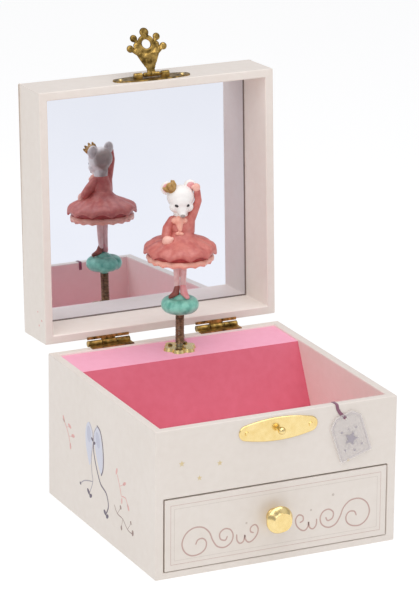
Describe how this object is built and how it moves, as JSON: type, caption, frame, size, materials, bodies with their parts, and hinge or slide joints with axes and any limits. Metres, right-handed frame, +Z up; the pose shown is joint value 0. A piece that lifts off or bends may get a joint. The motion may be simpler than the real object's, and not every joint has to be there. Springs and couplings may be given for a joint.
{
  "type": "ballerina jewellery box",
  "caption": "Square paper-covered jewellery box with a mirrored lid, a drawer, and a dancer that turns on a coil spring driven by a wind-up music movement.",
  "frame": {"origin": "centre of the underside of the box, on the surface it stands on", "axes": "+Z up; -Y towards the front, where the drawer is; +X to the right as seen from the front; lid drawn open"},
  "size_m": [0.115, 0.1572, 0.2058],
  "materials": {
    "cream_paper": "printed paper over grey board, satin",
    "front_paper": "printed paper over grey board, satin",
    "raspberry_paper": "matt dyed paper on board",
    "pale_pink_paper": "matt dyed paper on board",
    "mirror_glass": "silvered glass",
    "gold_brass": "bright pressed brass",
    "aged_brass": "antique brass plating",
    "ribbon_cloth": "woven satin ribbon",
    "tag_film": "frosted plastic",
    "drawer_felt": "flocked paper",
    "steel": "plain steel",
    "zinc": "die cast zinc",
    "movement_brass": "turned brass",
    "fan_plastic": "moulded plastic",
    "spring_wire": "dark drawn wire",
    "teal_paint": "painted resin",
    "slipper_paint": "painted resin",
    "leg_paint": "painted resin",
    "peach_paint": "painted resin",
    "coral_paint": "painted resin",
    "white_paint": "painted resin"
  },
  "bodies": {
    "base": {"base_left_wall": "cream_paper", "base_right_wall": "cream_paper", "base_back_wall": "cream_paper", "base_front_panel": "front_paper", "base_bottom": "cream_paper", "compartment_floor": "cream_paper", "drawer_bay_wall": "cream_paper", "mechanism_shelf": "pale_pink_paper", "mechanism_slope": "raspberry_paper", "floor_lining": "raspberry_paper", "hinge_leaves_base": "aged_brass", "hinge_pins": "aged_brass", "catch_plate": "gold_brass", "catch_stud": "gold_brass", "catch_nails": "gold_brass", "spindle_flange": "gold_brass", "flange_screws": "aged_brass", "tag_ribbon": "ribbon_cloth", "movement_bedplate": "zinc", "movement_bracket": "movement_brass", "comb_block": "zinc", "music_comb": "steel", "comb_screws": "steel", "spring_barrel": "zinc", "mainspring": "steel", "governor_bracket": "movement_brass"},
    "lid": {"lid_top_panel": "cream_paper", "lid_front_wall": "cream_paper", "lid_back_wall": "cream_paper", "lid_side_walls": "cream_paper", "mirror": "mirror_glass", "hinge_leaves_lid": "aged_brass", "hasp_plate": "gold_brass", "hasp_nails": "gold_brass", "hasp_pin": "aged_brass"},
    "hasp": {"hasp": "aged_brass"},
    "drawer": {"drawer_front": "front_paper", "drawer_sides": "cream_paper", "drawer_back_board": "cream_paper", "drawer_bottom": "cream_paper", "drawer_lining": "drawer_felt", "drawer_knob": "gold_brass", "knob_screw": "steel"},
    "tag": {"tag": "tag_film"},
    "stop_wire": {"stop_wire": "steel"},
    "dancer_carrier": {"dancer_spring": "spring_wire"},
    "dancer": {"dancer_pedestal": "teal_paint", "dancer_slippers": "slipper_paint", "dancer_legs": "leg_paint", "dancer_underskirt": "peach_paint", "dancer_overskirt": "coral_paint", "dancer_bodice": "coral_paint", "dancer_head": "white_paint", "dancer_arms": "coral_paint"},
    "music_cylinder": {"music_cylinder": "movement_brass"},
    "spindle": {"spindle": "steel"},
    "winding": {"winding_wheel": "movement_brass", "winding_key": "aged_brass"},
    "governor_wheel": {"governor_wheel": "movement_brass"},
    "governor_fan": {"governor_fan": "fan_plastic"}
  },
  "joints": [
    {"name": "lid_hinge", "type": "hinge", "parent": "base", "child": "lid", "pos_m": [0, 0.0595, 0.06775], "axis": [1, 0, 0], "range_deg": [0, 92.75]},
    {"name": "hasp_hinge", "type": "hinge", "parent": "lid", "child": "hasp", "pos_m": [0, 0.07264, 0.18606], "axis": [1, 0, 0], "range_deg": [-50, 112.5]},
    {"name": "drawer_slide", "type": "slide", "parent": "base", "child": "drawer", "axis": [0, -1, 0], "range_m": [0, 0.06]},
    {"name": "tag_swing", "type": "hinge", "parent": "base", "child": "tag", "pos_m": [0.03, -0.0578, 0.064], "axis": [-1, 0, 0], "range_deg": [0, 75]},
    {"name": "stop_slide", "type": "slide", "parent": "base", "child": "stop_wire", "axis": [0, 0, -1], "range_m": [0, 0.0012]},
    {"name": "dancer_fold", "type": "hinge", "parent": "base", "child": "dancer_carrier", "pos_m": [0, 0.0415, 0.0765], "axis": [1, 0, 0], "range_deg": [0, 96.5], "deforming": ["dancer_spring"]},
    {"name": "dancer_spin", "type": "hinge", "parent": "dancer_carrier", "child": "dancer", "pos_m": [0, 0.0415, 0.09], "axis": [0, 0, 1], "continuous": true},
    {"name": "cylinder_spin", "type": "hinge", "parent": "base", "child": "music_cylinder", "pos_m": [-0.01166, 0.037, 0.04], "axis": [0, 0, 1], "continuous": true},
    {"name": "spindle_spin", "type": "hinge", "parent": "base", "child": "spindle", "pos_m": [0, 0.0415, 0.06], "axis": [0, 0, 1], "continuous": true},
    {"name": "winding_spin", "type": "hinge", "parent": "base", "child": "winding", "pos_m": [-0.01166, 0.05, 0.015], "axis": [0, 1, 0], "continuous": true},
    {"name": "governor_wheel_spin", "type": "hinge", "parent": "base", "child": "governor_wheel", "pos_m": [-0.02166, 0.037, 0.055], "axis": [0, 0, 1], "continuous": true},
    {"name": "governor_fan_spin", "type": "hinge", "parent": "base", "child": "governor_fan", "pos_m": [-0.02926, 0.04, 0.05625], "axis": [0, 1, 0], "continuous": true}
  ],
  "couplings": [
    {"joint": "dancer_fold", "follows": "lid_hinge", "ratio": 1.035},
    {"joint": "stop_slide", "follows": "lid_hinge", "m_per_rad": 0.00068},
    {"joint": "spindle_spin", "follows": "cylinder_spin", "ratio": -1.5},
    {"joint": "dancer_spin", "follows": "cylinder_spin", "ratio": -1.5},
    {"joint": "winding_spin", "follows": "cylinder_spin", "ratio": -0.4},
    {"joint": "governor_wheel_spin", "follows": "cylinder_spin", "ratio": -3},
    {"joint": "governor_fan_spin", "follows": "cylinder_spin", "ratio": -18}
  ]
}
